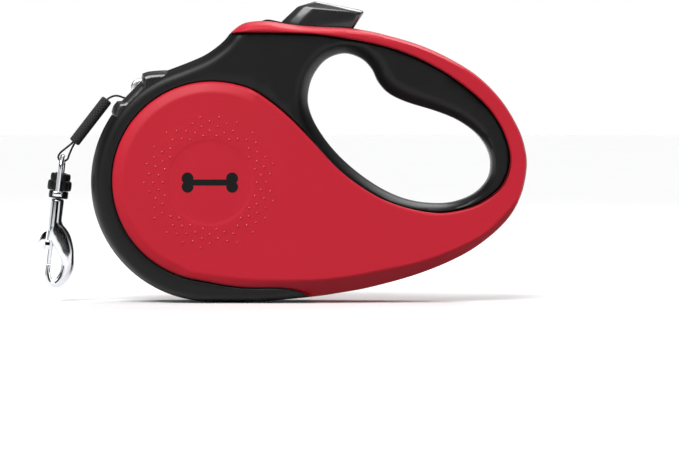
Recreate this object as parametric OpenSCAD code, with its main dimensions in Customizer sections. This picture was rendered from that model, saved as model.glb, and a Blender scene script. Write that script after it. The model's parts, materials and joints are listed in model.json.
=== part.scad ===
// Retractable dog leash: reel housing with a closed handle ring, thumb brake,
// spring-wound reel, cord outlet and a short lead with a trigger snap hook.
// Millimetres. +X points to the handle, +Z up, and the two housing halves meet at Y = 0.
// The origin is on the ground under the middle of the housing, which stands on its foot.

/* [Housing] */
// Radius of the round front of the housing
disc_r = 35.6; // [35.3:0.1:35.9]
// Radius of the round part of the cover
panel_r = 29.7; // [29.4:0.1:29.9]
// Half the width of the black housing over the reel
shell_half = 13; // [12.8:0.1:13.2]
// Half the width over the covers
cover_half = 15; // [14.6:0.1:15.4]
// Thickness of the soft ring inside the finger opening
liner_t = 1.4; // [1:0.1:1.6]
// Height of the arch under the foot
arch_h = 1.4; // [0.8:0.1:1.6]

/* [Reel] */
// Outer radius of the hub that carries the lead
hub_r = 24.6; // [24:0.1:24.8]
// Outer radius of the flanges
flange_r = 28.6; // [28.2:0.1:28.8]
// Number of brake notches round the flange
notches = 24; // [12:12:24]
// Turns of lead on the full hub
lead_turns = 19; // [12:1:20]
// Turns of the flat mainspring
spring_turns = 9; // [6:1:10]

/* [Brake] */
// Travel of the thumb button when it is pressed
press = 2.5; // [2:0.1:2.6]
// Travel of the button forwards into its lock
lock_slide = 3.5; // [2.5:0.1:3.6]
// Half the width of the thumb button
button_half = 6; // [5.4:0.1:6.1]

/* [Lead] */
// Diameter of the lead
cord_d = 0.6; // [0.5:0.05:0.6]
// Diameter of the stop sleeve
sleeve_d = 3.5; // [3:0.1:4]
// Length of the stop sleeve
sleeve_len = 16.3; // [15.9:0.1:16.4]

/* [Hook] */
// Wire of the swivel eye
eye_wire_d = 1.5; // [1.3:0.1:1.6]
// Widest radius of the ribbed swivel head
head_r = 3.6; // [3.2:0.1:3.7]
// Diameter of the sliding bolt
bolt_d = 1.5; // [1.3:0.05:1.5]
// Travel of the bolt when it is drawn back
bolt_travel = 4.5; // [3.5:0.1:4.5]

/* [Hidden] */
$fn = 64;

black = [0.15, 0.15, 0.155];
gloss = [0.09, 0.09, 0.10];
red = [0.74, 0.13, 0.18];
chrome = [0.80, 0.81, 0.83];
steel = [0.55, 0.56, 0.58];
brass = [0.78, 0.62, 0.30];
nylon = [0.86, 0.85, 0.80];

far = 20; // reach of a cut that has to leave the part
slack = 0.1; // clearance of a guided piece

// Reel centre
axle_x = -29.2;
axle_z = 36;
// Centre of the round part of the cover, off the reel's centre
panel_x = -28.7;
panel_z = 36.3;
axle_r = 2;
room_r = 31.2; // reel room inside the housing
room_half = 10.2;
land_half = 12; // the level that the covers lie on
land_edge = 9.5;
taper_x = -5; // from here the housing gets narrower towards the tail
taper = 0.05;

// ---- Curves ----

function arc(r, a0, a1, n, x = axle_x, z = axle_z) =
    [for (i = [0:n]) let (a = a0 + (a1 - a0) * i / n) [x + r * cos(a), z + r * sin(a)]];

// One span of a Catmull-Rom curve between b and c
function span(a, b, c, d, t) =
    0.5 * (2 * b + (c - a) * t + (2 * a - 5 * b + 4 * c - d) * t * t
        + (3 * b - a - 3 * c + d) * t * t * t);

function open_curve(p, n) = let (last = len(p) - 1)
    [for (i = [0:last - 1], j = [0:n - 1])
        span(i > 0 ? p[i - 1] : 2 * p[0] - p[1], p[i], p[i + 1],
            i < last - 1 ? p[i + 2] : 2 * p[last] - p[last - 1], j / n)];

function closed_curve(p, n) = let (m = len(p))
    [for (i = [0:m - 1], j = [0:n - 1])
        span(p[(i + m - 1) % m], p[i], p[(i + 1) % m], p[(i + 2) % m], j / n)];

// An anticlockwise outline moved inwards by d (outwards where d is negative)
function inset(p, d) = let (m = len(p))
    [for (i = [0:m - 1])
        let (t = p[(i + 1) % m] - p[(i + m - 1) % m])
            p[i] + d * [-t[1], t[0]] / norm(t)];

// ---- Outlines, seen from the side as [x, z] ----

tail_points = [[-22, 0.4], [-12, 0.6], [1, 1.8], [10, 3.1], [19, 4.8], [32, 8.4], [43.6, 13.1],
    [52, 18.2], [59.2, 24.9], [63.2, 32], [64.9, 40], [64.4, 46], [62.2, 52.4], [57.2, 60.5],
    [50, 67.7], [41, 73.2], [32, 77.1], [21.5, 80.1], [16, 81.2], [10, 81.9], [3, 82.2],
    [-3, 82.6], [-8, 83.3], [-12, 83.9], [-16, 83.8], [-19.5, 83.1], [-22.8, 80.8],
    [-24.8, 78.4], [-27.4, 76.1], [-31, 73.7], [-36, 71.5]];

opening_points = [[0, 58], [2.6, 52], [7.8, 45], [15, 38.4], [23, 33.2], [30.6, 30.3],
    [38.4, 29.4], [44.4, 30.1], [50, 32.6], [53.6, 36.6], [54.6, 41], [53.6, 45.6],
    [50.4, 50.2], [45, 54.2], [38.4, 57], [29.4, 59.8], [24, 62.4], [20.8, 65.8],
    [18.8, 69.8], [15.6, 72.9], [10.6, 74.4], [5.2, 72.6], [1.4, 68], [-0.2, 62.8]];

seam_top = [[-22.6, 80.3], [-5, 80.1], [5, 79.4], [19, 77], [29.4, 73.9], [38.4, 69.6],
    [46.2, 64.4], [52.7, 58.6], [57.2, 52.1], [59.5, 45.6], [59.6, 40.8], [57.8, 35.8],
    [54, 31.9], [48.1, 28.7], [39.8, 27], [32, 27.8], [22.8, 30.7], [15, 35.2], [8.4, 40.5],
    [2, 47.4], [-4.6, 54.3], [-10.6, 59.5], [-16.8, 63.6], [-22.8, 65.5]];

seam_base = [[-24, 5.2], [-18, 4.6], [-9, 4.5], [-4, 3.8], [-1.4, 2.8], [1, 1.5], [3, -0.5]];

silhouette = concat(arc(disc_r, 111, 262, 25),
    open_curve(concat([[axle_x + disc_r * cos(268), axle_z + disc_r * sin(268)]],
        tail_points, [[axle_x + disc_r * cos(111), axle_z + disc_r * sin(111)]]), 2));

opening = closed_curve(opening_points, 2);

// The C-shaped field of a cover, running past the silhouette where a cover wraps round it
cover_zone = concat([[3, -8], [74, -8], [84, 40], [74, 96], [-20, 100], [-36, 96], [-36, 80.3]],
    open_curve(seam_top, 2), arc(panel_r, 81, 258, 30, panel_x, panel_z), open_curve(seam_base, 2));

// ---- Solids from outlines ----

// A plate with this outline between two Y planes
module slab(y0, y1) {
    translate([0, y1, 0]) rotate([90, 0, 0]) linear_extrude(y1 - y0) children();
}

// A round bar along Y
module bar_y(x, z, r, y0, y1) {
    translate([x, y0, z]) rotate([-90, 0, 0]) cylinder(r = r, h = y1 - y0);
}

// A turned piece about the reel's axle: its profile is [radius, y]
module turned() {
    translate([axle_x, 0, axle_z]) rotate([-90, 0, 0]) rotate_extrude($fn = 96) children();
}

// Closed skin over a stack of rings with equal numbers of points
module skin(rings) {
    m = len(rings[0]);
    n = len(rings);
    sides = [for (k = [0:n - 2], i = [0:m - 1])
        let (j = (i + 1) % m)
            each [[k * m + i, k * m + j, (k + 1) * m + j],
                [k * m + i, (k + 1) * m + j, (k + 1) * m + i]]];
    ends = [[for (i = [m - 1:-1:0]) i], [for (i = [0:m - 1]) (n - 1) * m + i]];
    polyhedron([for (r = rings) each r], concat(sides, ends), convexity = 10);
}

// An outline with a rolled edge: steps is a list of [inset, y]
module rolled(outline, steps) {
    skin([for (s = steps) [for (p = inset(outline, s[0])) [p[0], s[1], p[1]]]]);
}

module far_side(mirrored) {
    mirror([0, mirrored ? 1 : 0, 0]) children();
}

// What the taper towards the tail takes off a half that is this wide
module taper_cut(half) {
    end_x = 90;
    translate([0, 0, -far]) linear_extrude(120 + far)
        polygon([[-end_x, half], [taper_x, half], [end_x, half - taper * (end_x - taper_x)],
            [end_x, half + far], [-end_x, half + far]]);
}

// A coil spring that stands on Z = 0
module coil(r, wire, turns, length) {
    per_turn = 12;
    sides = 6;
    skin([for (k = [0:turns * per_turn])
        let (a = 360 * k / per_turn, rise = wire + (length - 2 * wire) * k / (turns * per_turn))
            [for (i = [0:sides - 1]) let (b = 360 * i / sides)
                [(r + wire * cos(b)) * cos(a), (r + wire * cos(b)) * sin(a), rise + wire * sin(b)]]]);
}

// A round cord through points [x, z] in the plane Y = 0
module cord(route) {
    last = len(route) - 1;
    sides = 8;
    skin([for (k = [0:last])
        let (t = route[min(k + 1, last)] - route[max(k - 1, 0)], e = [-t[1], t[0]] / norm(t))
            [for (i = [0:sides - 1]) let (b = 360 * i / sides, r = cord_d / 2)
                [route[k][0] + r * cos(b) * e[0], r * sin(b), route[k][1] + r * cos(b) * e[1]]]]);
}

// ---- Housing ----

opening_roll = [[0, -1], [0, 6.5], [-0.6, 9.5], [-1.6, 11.6], [-3, 13.4], [-3, far]];
liner_half = 7;

pawl_room = [[-25.6, 58], [-25.6, 70.6], [-19, 70.6], [-15, 69], [-3.8, 69], [-3.6, 63],
    [-4.6, 57], [-12, 52]];
tail_room = [[4, 8], [20, 9], [34, 12.5], [46, 17.5], [52, 22.5], [45, 25], [36, 24.5],
    [26, 26.5], [14, 32.5], [8, 38]];
lead_slot = [[-42, 58.6], [-42, 66.4], [-50, 66.4], [-57, 60.4], [-56, 58.6]];

// Screws: below the reel, in the tail, at the tail's end, over the opening and in the neck
screw_spots = [[-2, 9], [30, 17], [57, 29.5], [33, 66], [-21.4, 76.4]];
screw_r = 0.9;
screw_head_r = 1.7;
screw_head_t = 1.3;
screw_seat = 6.2;
screw_tip = -6;

nozzle_r = 33.6;
nozzle_half = 11;
outlet_gap = [[-37, 78.3], [-70, 80], [-70, 64]]; // the notch in the housing that the outlet fills
foot_x0 = -31.5;
foot_x1 = -13;
foot_top = 2.2;
foot_half = 8;
bezel_half = 8;
bezel_x0 = -14;
bezel_x1 = 16.6;
bezel_seat = [[bezel_x0, 81.4], [-6, 81], [2, 80.4], [10, 79.6], [bezel_x1, 78.6],
    [bezel_x1, 90], [bezel_x0, 90]];

// Thumb button's own well, and the well of the plate under it
well_x0 = -12.4;
well_x1 = 15.4;
well_half = button_half + 0.3;
button_base = 80.4;
plate_top = 80.2;
plate_t = 1.6;
plate_x0 = -11;
plate_x1 = 4.4;
plate_half = 7;
stem_x = -8;
stem_r = 2.4;
stem_foot_r = 1.2;
spring_seat = 71; // the brake spring stands here, round the stem
spring_well_r = 3.9;

// Pawl: its tip works at pawl_angle on the flange, square to the arm
pawl_angle = 55;
pawl_arm = 12;
pawl_rest_gap = 0.6;
pawl_hub_r = 2.2;
pin_r = 1.1;
tip = [axle_x + (flange_r + pawl_rest_gap) * cos(pawl_angle),
    axle_z + (flange_r + pawl_rest_gap) * sin(pawl_angle)];
pivot = tip - pawl_arm * [sin(pawl_angle), -cos(pawl_angle)];
pawl_turn = press / (stem_x - pivot[0]) * 180 / PI;
// The tip after the pawl has turned, which sets where the notches stand
pressed_tip = pivot + [cos(pawl_turn) * (tip - pivot)[0] + sin(pawl_turn) * (tip - pivot)[1],
    cos(pawl_turn) * (tip - pivot)[1] - sin(pawl_turn) * (tip - pivot)[0]];
notch_phase = atan2(pressed_tip[1] - axle_z, pressed_tip[0] - axle_x);
notch_depth = 2.2;
notch_w = 3.8;

// Everything is drawn for the half with positive Y; the left half is its mirror
module housing_rooms() {
    bar_y(axle_x, axle_z, room_r, -1, room_half);
    slab(-1, 9.9) polygon(pawl_room);
    slab(-1, 7.2) polygon(tail_room);
    slab(-1, 4.6) polygon(lead_slot);
    slab(-1, far) polygon(concat(arc(nozzle_r, 145.5, 115, 12), outlet_gap));
    slab(-1, bezel_half + 0.05) polygon(bezel_seat);
    translate([foot_x0 - 0.02, -1, -1]) cube([foot_x1 - foot_x0 + 0.04, foot_half + 1.02, foot_top + 1]);
    translate([plate_x0 - 0.4, -1, plate_top - plate_t - press - 0.3])
        cube([plate_x1 - plate_x0 + 0.8, plate_half + 1.2, plate_t + press + 0.6]);
    translate([well_x0, -1, button_base - press - 0.3]) cube([well_x1 - well_x0, well_half + 1, far]);
    translate([stem_x, 0, spring_seat]) cylinder(r = spring_well_r, h = 8);
    translate([stem_x, 0, spring_seat - 5]) cylinder(r = stem_r + slack, h = 8);
}

module half_shell(right) {
    pawl_boss_y = right ? 9.1 : 2.8;
    hole_r = right ? screw_r + slack : screw_r;
    difference() {
        union() {
            difference() {
                union() {
                    difference() {
                        rolled(silhouette, [[0, 0], [0, 6.5], [0.8, 9.4], [2.2, 11.8], [4.2, shell_half]]);
                        slab(-1, far) polygon(cover_zone);
                        taper_cut(shell_half);
                    }
                    difference() {
                        intersection() {
                            housing_land(0);
                            slab(-1, far) polygon(cover_zone);
                        }
                        taper_cut(land_half);
                    }
                }
                housing_rooms();
            }
            bar_y(pivot[0], pivot[1], 2.4, pawl_boss_y, 11);
            bar_y(screw_spots[1][0], screw_spots[1][1], 3, 0, 8);
        }
        rolled(opening, opening_roll);
        slab(-1, liner_half) polygon(inset(opening, -liner_t));
        bar_y(pivot[0], pivot[1], pin_r, -1, 11);
        bar_y(axle_x, axle_z, axle_r, 8, 11.8);
        for (s = screw_spots) {
            bar_y(s[0], s[1], hole_r, -1, right ? screw_seat + 1 : -screw_tip);
            if (right) bar_y(s[0], s[1], screw_head_r + slack, screw_seat, far);
        }
    }
}

// The two steps that a cover lies on
module housing_land(y0) {
    slab(y0, land_edge) polygon(inset(silhouette, 2));
    slab(y0, land_half) polygon(inset(silhouette, 4.2));
}

module half_cover() {
    seam_gap = 0.12;
    difference() {
        intersection() {
            rolled(cover_zone, [[seam_gap, -1], [seam_gap, 13.4], [1.2, 14.3], [4.2, 16.5]]);
            rolled(silhouette, [[0, 0], [0, 7.5], [0.8, 10.6], [2.2, 13.2], [4, 15.2], [4.3, 15.8]]);
        }
        taper_cut(cover_half);
        difference() {
            housing_land(-1);
            taper_cut(land_half);
        }
        rolled(opening, opening_roll);
        translate([bezel_x0, -1, 60]) cube([bezel_x1 - bezel_x0, bezel_half + 1.05, 30]);
    }
}

module left_shell() { color(black) far_side(true) half_shell(false); }
module right_shell() { color(black) half_shell(true); }
module left_cover() { color(red) far_side(true) half_cover(); }
module right_cover() { color(red) half_cover(); }

module grip_liner() {
    color(black) difference() {
        slab(-liner_half, liner_half) polygon(inset(opening, -liner_t));
        slab(-far, far) polygon(opening);
    }
}

module foot_pad() {
    arch_half = 4.7;
    arch_r = (arch_half * arch_half + arch_h * arch_h) / (2 * arch_h);
    color(black) difference() {
        translate([foot_x0, -foot_half, 0]) cube([foot_x1 - foot_x0, 2 * foot_half, foot_top]);
        bar_y(-23.2, arch_h - arch_r, arch_r, -far, far);
    }
}

module button_bezel() {
    top = [[bezel_x0, 81.5], [-6, 81.1], [2, 80.5], [10, 79.7], [bezel_x1, 78.7],
        [bezel_x1, 81.1], [10, 82], [3, 82.3], [-3, 82.7], [-8, 83.5], [-11.5, 84.3],
        [-12.8, 84.3], [bezel_x0, 83.9]];
    color(black) difference() {
        slab(-bezel_half, bezel_half) polygon(top);
        translate([well_x0, -well_half, 70]) cube([well_x1 - well_x0, 2 * well_half, 20]);
    }
}

// Outlet: hood above, guide roller in the mouth, lip below
roller_x = -50.4;
roller_z = 64;
roller_r = 2.8;

module outlet_nozzle() {
    hood = [[-42.2, 69.3], [-44.5, 69.2], [-47.6, 68.9], [-49.5, 68.3], [-49.6, 66.2],
        [-55.6, 60.2], [-57, 60.2], [-58.1, 58.7], [-58.6, 56.9]];
    mouth = [[-42, 60.2], [-42, 64.4], [-47.6, 66.9], [-49.6, 67], [-54, 71], [-62, 64], [-62, 60.2]];
    color(gloss) difference() {
        slab(-nozzle_half, nozzle_half) polygon(concat(arc(nozzle_r, 145, 115.5, 12), hood));
        slab(-4.4, 4.4) polygon(mouth);
        bar_y(roller_x, roller_z, 0.8, -6.5, 6.5);
    }
}

module guide_roller() {
    color(chrome) difference() {
        bar_y(roller_x, roller_z, roller_r, -4.2, 4.2);
        bar_y(roller_x, roller_z, 0.85, -5, 5);
    }
}

module roller_pin() { color(steel) bar_y(roller_x, roller_z, 0.8, -6.5, 6.5); }

module housing_screws() {
    color(steel) for (s = screw_spots) {
        difference() {
            union() {
                bar_y(s[0], s[1], screw_r, screw_tip, screw_seat);
                bar_y(s[0], s[1], screw_head_r, screw_seat, screw_seat + screw_head_t);
            }
            for (a = [0, 90])
                translate([s[0], screw_seat + screw_head_t, s[1]]) rotate([0, a, 0])
                    cube([2.2, 1.2, 0.5], center = true);
        }
    }
}

// ---- Reel ----

reel_side = 8.4; // half the width over the flanges
flange_t = 2;
cup_r = 22.6; // spring cup inside the hub
bush_r = 3.2;
arbor_r = 4.4;

module axle() { color(steel) bar_y(axle_x, axle_z, axle_r, -11.8, 11.8); }

module spring_arbor() {
    color(nylon) difference() {
        turned() polygon([[axle_r + 0.05, -room_half], [7, -room_half], [7, -9.5], [arbor_r, -9.5],
            [arbor_r, 1.9], [axle_r + 0.05, 1.9]]);
        translate([axle_x, -6.8, axle_z - 0.4]) cube([6, 9, 0.8]);
    }
}

module thrust_washers() {
    color(steel) {
        turned() polygon([[arbor_r + slack, -9.4], [7.4, -9.4], [7.4, -8.7], [arbor_r + slack, -8.7]]);
        turned() polygon([[axle_r + slack, 9.4], [4.8, 9.4], [4.8, 9.95], [axle_r + slack, 9.95]]);
    }
}

module reel() {
    color(nylon) difference() {
        turned() polygon([[bush_r, 2.2], [cup_r, 2.2], [cup_r, -reel_side], [hub_r, -reel_side],
            [hub_r, reel_side - flange_t], [flange_r, reel_side - flange_t], [flange_r, reel_side],
            [cup_r, reel_side], [cup_r, 4], [5.6, 4], [5.6, 9.3], [bush_r, 9.3]]);
        for (k = [0:notches - 1])
            translate([axle_x, reel_side - flange_t / 2, axle_z])
                rotate([0, -notch_phase - 360 / notches * k, 0])
                    translate([flange_r, 0, 0]) cube([2 * notch_depth, 4, notch_w], center = true);
        for (k = [0:5])
            translate([axle_x, 0, axle_z]) rotate([0, 60 * k, 0]) bar_y(14, 0, 3.5, 1, 5);
    }
}

module reel_flange() {
    color(nylon) turned() polygon([[hub_r, -reel_side], [flange_r, -reel_side],
        [flange_r, flange_t - reel_side], [hub_r, flange_t - reel_side]]);
}

module reel_bushing() {
    color(brass) turned() polygon([[axle_r + 0.05, 2.2], [bush_r, 2.2], [bush_r, 9.3],
        [axle_r + 0.05, 9.3]]);
}

module mainspring() {
    per_turn = 24;
    strip = 0.5;
    r0 = arbor_r + 0.2;
    r1 = cup_r - 0.3 - strip;
    last = spring_turns * per_turn;
    edge = function(k, extra) let (a = 360 * k / per_turn, r = r0 + (r1 - r0) * k / last + extra)
        [axle_x + r * cos(a), axle_z + r * sin(a)];
    color(steel) slab(-6.6, 1.8)
        polygon(concat([for (k = [0:last]) edge(k, strip)], [for (k = [last:-1:0]) edge(k, 0)]));
}

module spring_cover() {
    color(nylon) turned() polygon([[6, -reel_side], [cup_r, -reel_side], [cup_r, -7], [6, -7]]);
}

// One layer of lead, side by side across the hub
module lead_winding() {
    half = lead_turns * (cord_d + 0.02) / 2;
    color(black) turned() polygon([[hub_r, -half], [hub_r + cord_d, -half], [hub_r + cord_d, half],
        [hub_r, half]]);
}

inner_route = [[-28.5, 61.7], [-31, 61.6], [-34, 61.5], [-38, 61.3], [-42, 61.1], [-46, 60.9],
    [-50.4, 60.8], [-54.2, 60.9]];

module inner_lead() { color(black) cord(inner_route); }

// ---- Brake ----

module thumb_button() {
    side = [[-3.2, button_base], [-3.2, 83], [1.5, 87.8], [12.2, 86.9], [14.6, 86], [12.4, button_base]];
    corner = [[-5.8, button_base], [-5.8, 83.4], [-1.2, 88.4], [13.6, 87.1], [15.8, 86.4], [12.4, button_base]];
    middle = [[-8.2, button_base], [-8.2, 83.7], [-3.3, 88.3], [2.1, 89.9], [15.4, 87.3], [16.6, 86.7],
        [12.4, button_base]];
    rail_x0 = plate_x0 - 0.2;
    rail_x1 = 4.2 + lock_slide;
    color(gloss) difference() {
        hull() {
            slab(-button_half, button_half) polygon(side);
            slab(0.8 - button_half, button_half - 0.8) polygon(corner);
            slab(2.4 - button_half, button_half - 2.4) polygon(middle);
        }
        translate([rail_x0, -1.5, button_base - 1]) cube([rail_x1 - rail_x0, 3, 3]);
        translate([rail_x0, -2.9, 81.7]) cube([rail_x1 - rail_x0, 5.8, 1.5]);
    }
}

module brake_plunger() {
    plate_z = plate_top - plate_t;
    foot_z = 67.6;
    color(nylon) {
        translate([plate_x0, -plate_half, plate_z]) cube([plate_x1 - plate_x0, 2 * plate_half, plate_t]);
        translate([plate_x0 + 1, -1.4, plate_z]) cube([14, 2.8, 4]);
        translate([plate_x0 + 1, -2.8, 81.8]) cube([14, 5.6, 1.3]);
        difference() {
            translate([stem_x, 0, foot_z]) cylinder(r = stem_r, h = plate_z - foot_z + 0.5);
            for (s = [-1, 1]) translate([stem_x + s * 3.2, 0, foot_z + 0.5]) cube([4, 6, 3], center = true);
        }
        bar_y(stem_x, foot_z, stem_foot_r, -2, 2);
    }
}

module brake_spring() {
    gap = 0.05;
    color(steel) translate([stem_x, 0, spring_seat + gap])
        coil(3.15, 0.35, 5, plate_top - plate_t - spring_seat - 4 * gap);
}

// The flat of the plunger's foot lands on the arm, and the tooth drops into the flange
module brake_pawl() {
    out = [cos(pawl_angle), sin(pawl_angle)];
    side = [sin(pawl_angle), -cos(pawl_angle)];
    shoulder_out = 3.6; // how far the arm ends above the tip
    shoulder = tip + out * shoulder_out;
    shoulder_r = 1.3;
    tooth = [tip - side, tip + side, shoulder + side * 1.6, shoulder - side * 1.8];
    arm_end = [stem_x, 64.6];
    color(nylon) difference() {
        union() {
            bar_y(pivot[0], pivot[1], pawl_hub_r, -2.5, 8.9);
            hull() {
                bar_y(pivot[0], pivot[1], 1.9, -2.2, 2.2);
                bar_y(arm_end[0], arm_end[1], 1.4, -2.2, 2.2);
            }
            hull() {
                bar_y(pivot[0], pivot[1], 1.9, 5.8, 8.9);
                bar_y(shoulder[0], shoulder[1], shoulder_r, 5.8, 8.9);
            }
            slab(5.8, 8.9) polygon(tooth);
            bar_y((pivot[0] + shoulder[0]) / 2, (pivot[1] + shoulder[1]) / 2, 1, 0, 7);
        }
        bar_y(pivot[0], pivot[1], pin_r + 0.05, -5, far);
    }
}

module pawl_pin() { color(steel) bar_y(pivot[0], pivot[1], pin_r, -11, 11); }

// ---- Lead ----

sleeve_top = [-60.4, 60.6];
sleeve_dir = [-0.6127, -0.7903];
sleeve_left = [-0.7903, 0.6127];

// Points on the sleeve's axis, moved a strand's width to one side of it
function in_sleeve(along, side) = sleeve_top + along * sleeve_dir + side * sleeve_left;

lead_start = [[-54.6, 60.95], [-55.6, 61.15], [-56.7, 61.55], [-57.9, 61.7], [-59.1, 61.4]];
loop_points = [[-71.7, 46.9], [-73.1, 45.8], [-74.4, 44.7], [-75.1, 43.6], [-75, 42.8],
    [-74.4, 42.3], [-73.6, 42.2], [-72.9, 42.3], [-72.3, 42.8], [-72, 43.6], [-71.5, 44.9],
    [-70.8, 46.4]];
strand = 0.33;
lead_route = concat(lead_start, [in_sleeve(0, 0), in_sleeve(1.5, 0), in_sleeve(4, 0.2)],
    [for (t = [6:2:14]) in_sleeve(t, strand)], [in_sleeve(16.3, 0.3)], loop_points,
    [in_sleeve(16.3, -0.3)], [for (t = [14:-2:8]) in_sleeve(t, -strand)]);

module lead_cord() { color(black) cord(lead_route); }

module stop_sleeve() {
    color(black) translate([sleeve_top[0], 0, sleeve_top[1]])
        rotate([0, atan2(sleeve_dir[0], sleeve_dir[1]), 0]) difference() {
            cylinder(r = sleeve_d / 2, h = sleeve_len);
            translate([0, 0, -1]) cylinder(r = 0.75, h = sleeve_len + 2);
        }
}

// ---- Snap hook, drawn along its own axis and leaned by hook_lean ----

hook_lean = 7;
hook_origin = [-75.05, 0, 32.2];

module hook_frame() { translate(hook_origin) rotate([0, hook_lean, 0]) children(); }

eye_top = 11.35; // centre of the bail's top bar above the swivel
eye_side = 4.65;
bar_z0 = -0.6;
bar_z1 = 1;
swivel_r = 0.8;
collar_web = 0.6; // thickness of the collar under the bar

module swivel_eye() {
    wire = eye_wire_d / 2;
    bend = 3.2;
    color(chrome) hook_frame() difference() {
        union() {
            for (s = [-1, 1]) {
                translate([0, s * eye_side, 0]) cylinder(r = wire, h = eye_top - bend);
                translate([0, s * (eye_side - bend), eye_top - bend]) rotate([0, -90, s > 0 ? 0 : 180])
                    rotate_extrude(angle = 90) translate([bend, 0]) circle(r = wire, $fn = 32);
            }
            translate([0, bend - eye_side, eye_top]) rotate([-90, 0, 0])
                cylinder(r = wire, h = 2 * (eye_side - bend));
            translate([-1.4, -eye_side - wire, bar_z0]) cube([2.8, 2 * (eye_side + wire), bar_z1 - bar_z0]);
        }
        translate([0, 0, -2]) cylinder(r = swivel_r + 0.05, h = 4);
    }
}

// Stepped head with ribs cut down its sides
module swivel_head() {
    ribs = 18;
    color(black) hook_frame() difference() {
        rotate_extrude() polygon([[swivel_r, 1.1], [head_r, 1.1], [head_r, 4.1], [head_r - 0.6, 4.1],
            [head_r - 0.6, 6.3], [1.6, 6.3], [1.6, 6.5], [swivel_r, 6.5]]);
        for (k = [0:ribs - 1])
            rotate([0, 0, 360 / ribs * k]) translate([head_r, 0, 2.6]) cube([0.6, 0.5, 2], center = true);
    }
}

// Collar that sits on the bail's bar and is notched over it
module swivel_collar() {
    collar_r = 2.9;
    color(black) hook_frame() difference() {
        rotate_extrude() polygon([[swivel_r + 0.05, bar_z0 - collar_web], [collar_r, bar_z0 - collar_web],
            [collar_r, bar_z1 - 0.05], [swivel_r + 0.05, bar_z1 - 0.05]]);
        translate([-1.42, -far, bar_z0]) cube([2.84, 2 * far, far]);
    }
}

shank_r = 1.95;
bolt_a = -0.5; // the bolt runs beside the hook's axis
bolt_low = -21.2;
bolt_high = -9.5;
bore_top = -3.5;

// Hook arm as [across, along, half width, half depth] down from the shank and round to the tip
arm_path = [[0, -7.5, 1.85, 1.85], [0.4, -9.6, 2.2, 2], [1.3, -11.6, 2.85, 2.1], [2.6, -13.6, 3, 2.2],
    [3.9, -15.9, 2.65, 2.3], [4.9, -18.4, 2.2, 2.4], [5.2, -21, 2.05, 2.4], [4.7, -23.8, 1.8, 2.3],
    [3.4, -26, 1.5, 2.1], [1.9, -26.9, 1.2, 1.8], [0.5, -26.3, 1.05, 1.5], [-0.3, -24.6, 0.95, 1.2],
    [-0.5, -23, 0.85, 1], [-0.5, -21.5, 0.8, 0.9]];

module hook_arm() {
    sides = 16;
    path = concat(open_curve(arm_path, 2), [arm_path[len(arm_path) - 1]]);
    last = len(path) - 1;
    skin([for (k = [0:last])
        let (p = path[k], q = path[min(k + 1, last)] - path[max(k - 1, 0)],
            e = [-q[1], q[0]] / norm([q[0], q[1]]))
            [for (i = [0:sides - 1]) let (b = 360 * i / sides)
                [p[0] + p[2] * cos(b) * e[0], p[3] * sin(b), p[1] + p[2] * cos(b) * e[1]]]]);
}

module hook_body() {
    slot_top = -9.9;
    color(chrome) hook_frame() difference() {
        union() {
            translate([0, 0, -14]) cylinder(r = shank_r, h = 14 + bar_z0 - collar_web - 0.15);
            translate([0, 0, -3]) cylinder(r = swivel_r, h = 9.5);
            hook_arm();
        }
        translate([bolt_a, 0, -20]) cylinder(r = bolt_d / 2 + slack, h = 20 + bore_top);
        translate([bolt_a - 4, -0.8, -20]) cube([4, 1.6, 20 + slot_top]);
    }
}

module hook_bolt() {
    lever = [[-2.15, -11.2], [-3.4, -12.4], [-4.4, -14.6], [-4.6, -16.2], [-3.9, -16.8], [-2.15, -16.8]];
    color(chrome) hook_frame() {
        translate([bolt_a, 0, bolt_low]) cylinder(r = bolt_d / 2, h = bolt_high - bolt_low);
        translate([-3, -0.7, -16.8]) cube([2.5, 1.4, 2.2]);
        slab(-1.6, 1.6) polygon(lever);
    }
}

module bolt_spring() {
    gap = 0.05;
    color(steel) hook_frame() translate([bolt_a, 0, bolt_high + gap])
        coil(0.5, 0.11, 5, bore_top - bolt_high - 2 * gap);
}

left_shell();
right_shell();
left_cover();
right_cover();
grip_liner();
foot_pad();
button_bezel();
outlet_nozzle();
guide_roller();
roller_pin();
housing_screws();
axle();
spring_arbor();
thrust_washers();
reel();
reel_flange();
reel_bushing();
mainspring();
spring_cover();
lead_winding();
inner_lead();
thumb_button();
brake_plunger();
brake_spring();
brake_pawl();
pawl_pin();
lead_cord();
stop_sleeve();
swivel_eye();
swivel_head();
swivel_collar();
hook_body();
hook_bolt();
bolt_spring();
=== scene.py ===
import bpy
import bmesh
import json
import math
import numpy as np
from mathutils import Vector, Matrix
from mathutils.geometry import delaunay_2d_cdt


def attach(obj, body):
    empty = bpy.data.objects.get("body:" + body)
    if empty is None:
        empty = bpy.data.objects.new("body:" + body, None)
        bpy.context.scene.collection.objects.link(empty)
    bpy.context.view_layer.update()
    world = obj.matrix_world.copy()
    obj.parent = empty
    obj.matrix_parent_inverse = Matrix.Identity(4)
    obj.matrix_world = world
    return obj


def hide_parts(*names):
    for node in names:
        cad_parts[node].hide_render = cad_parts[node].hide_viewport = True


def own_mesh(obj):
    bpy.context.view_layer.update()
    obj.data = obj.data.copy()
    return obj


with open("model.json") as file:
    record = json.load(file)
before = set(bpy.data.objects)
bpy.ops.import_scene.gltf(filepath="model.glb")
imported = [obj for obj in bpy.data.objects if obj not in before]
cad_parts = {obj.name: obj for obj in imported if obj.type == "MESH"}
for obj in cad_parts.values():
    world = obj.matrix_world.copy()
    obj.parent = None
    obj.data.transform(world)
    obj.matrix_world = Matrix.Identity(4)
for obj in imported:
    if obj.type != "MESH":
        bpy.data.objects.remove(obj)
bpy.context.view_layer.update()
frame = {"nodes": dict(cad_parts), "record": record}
MM = 0.001
scene = bpy.context.scene

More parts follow.
